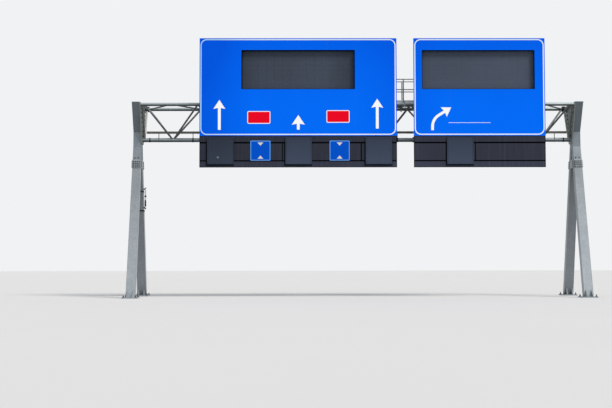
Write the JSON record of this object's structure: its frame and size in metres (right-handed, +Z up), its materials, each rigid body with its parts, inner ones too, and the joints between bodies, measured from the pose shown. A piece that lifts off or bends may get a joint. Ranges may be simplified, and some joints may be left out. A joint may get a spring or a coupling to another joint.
{
  "type": "overhead sign gantry",
  "caption": "Triangular tube truss on four forked legs that carries two large road sign panels with display windows, lane signals and a walkway.",
  "frame": {"origin": "on the ground, under the middle of the truss and halfway between the front and rear feet", "axes": "+X along the truss, to the right as the traffic sees the signs; +Y away from that traffic; +Z up"},
  "size_m": [18.505, 4.28, 10.28],
  "materials": {
    "leg_steel": "hot-dip galvanised, weathered matt",
    "plate_steel": "hot-dip galvanised, weathered matt",
    "tube_steel": "hot-dip galvanised, weathered matt",
    "walkway_steel": "hot-dip galvanised",
    "sign_frame": "mill finish, dull",
    "sign_face": "retroreflective film",
    "cabinet_paint": "matt powder coat",
    "board_paint": "matt powder coat",
    "signal_case": "matt powder coat",
    "duct_steel": "pre-galvanised sheet",
    "strap_plastic": "black, matt"
  },
  "bodies": {
    "root": {"left_front_leg": "leg_steel", "left_front_arm": "leg_steel", "left_front_base": "plate_steel", "left_rear_leg": "leg_steel", "left_rear_arm": "leg_steel", "left_rear_base": "plate_steel", "right_front_leg": "leg_steel", "right_front_arm": "leg_steel", "right_front_base": "plate_steel", "right_rear_leg": "leg_steel", "right_rear_arm": "leg_steel", "right_rear_base": "plate_steel", "left_splice": "plate_steel", "left_end_plate": "plate_steel", "left_sign": "sign_face", "left_display": "cabinet_paint", "left_board": "board_paint", "left_sign_posts": "sign_frame", "right_splice": "plate_steel", "right_end_plate": "plate_steel", "right_sign": "sign_face", "right_display": "cabinet_paint", "right_board": "board_paint", "right_sign_posts": "sign_frame", "end_struts": "tube_steel", "top_front_chord": "tube_steel", "top_rear_chord": "tube_steel", "bottom_chord": "tube_steel", "front_diagonals": "tube_steel", "rear_diagonals": "tube_steel", "top_bracing": "tube_steel", "walkway_bearers": "walkway_steel", "walkway_deck": "walkway_steel", "toe_boards": "walkway_steel", "front_railing": "walkway_steel", "rear_railing": "walkway_steel", "signal_1": "signal_case", "signal_2": "signal_case", "signal_3": "signal_case", "signal_4": "signal_case", "height_plates": "sign_face", "sign_rails": "sign_frame", "sign_brackets": "sign_frame", "cable_duct": "duct_steel", "leg_conduit": "strap_plastic"}
  },
  "joints": []
}
